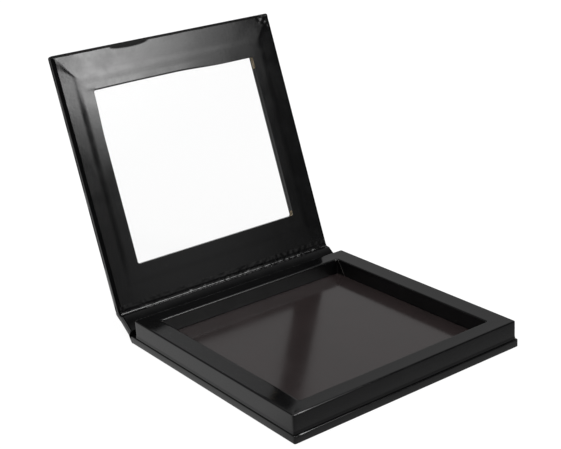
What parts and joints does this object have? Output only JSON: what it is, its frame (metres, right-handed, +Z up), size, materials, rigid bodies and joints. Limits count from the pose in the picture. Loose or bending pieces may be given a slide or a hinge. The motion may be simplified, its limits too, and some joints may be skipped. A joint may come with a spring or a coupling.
{
  "type": "magnetic makeup palette",
  "caption": "Book-style magnetic makeup palette: a paper-wrapped board case with a walled tray over a magnetic sheet and a windowed lid on a folding spine.",
  "frame": {"origin": "centre of the base's underside", "axes": "+X along the hinges, +Y from the tray's front to the spine, +Z up"},
  "size_m": [0.12, 0.1696, 0.1237],
  "materials": {
    "wrap_paper": "glossy film-laminated black",
    "liner_paper": "glossy film-laminated black",
    "greyboard": "raw greyboard",
    "magnetic_rubber": "satin",
    "tape": "matt",
    "magnet_nickel": "nickel plated",
    "clear_film": "clear plastic film"
  },
  "bodies": {
    "base": {"base_board": "greyboard", "base_wrap": "wrap_paper", "base_liner": "liner_paper", "tray_front_wall": "greyboard", "tray_rear_wall": "greyboard", "tray_left_wall": "greyboard", "tray_right_wall": "greyboard", "tray_wrap": "wrap_paper", "magnet_sheet": "magnetic_rubber", "sheet_tape": "tape", "tray_magnet_left": "magnet_nickel", "tray_magnet_right": "magnet_nickel", "lower_hinge_crease": "wrap_paper"},
    "spine": {"spine_board": "greyboard", "spine_wrap": "wrap_paper", "spine_liner": "liner_paper", "upper_hinge_crease": "wrap_paper"},
    "lid": {"lid_outer_board": "greyboard", "lid_wrap": "wrap_paper", "window_film": "clear_film", "lid_inner_board": "greyboard", "lid_liner": "liner_paper", "lid_magnet_left": "magnet_nickel", "lid_magnet_right": "magnet_nickel"}
  },
  "joints": [
    {"name": "spine_hinge", "type": "hinge", "parent": "base", "child": "spine", "pos_m": [0, 0.06055, 0.00245], "axis": [-1, 0, 0], "range_deg": [-53.9, 36.1]},
    {"name": "lid_hinge", "type": "hinge", "parent": "spine", "child": "lid", "pos_m": [0, 0.07025, 0.00952], "axis": [-1, 0, 0], "range_deg": [-54.9, 35.1]}
  ]
}
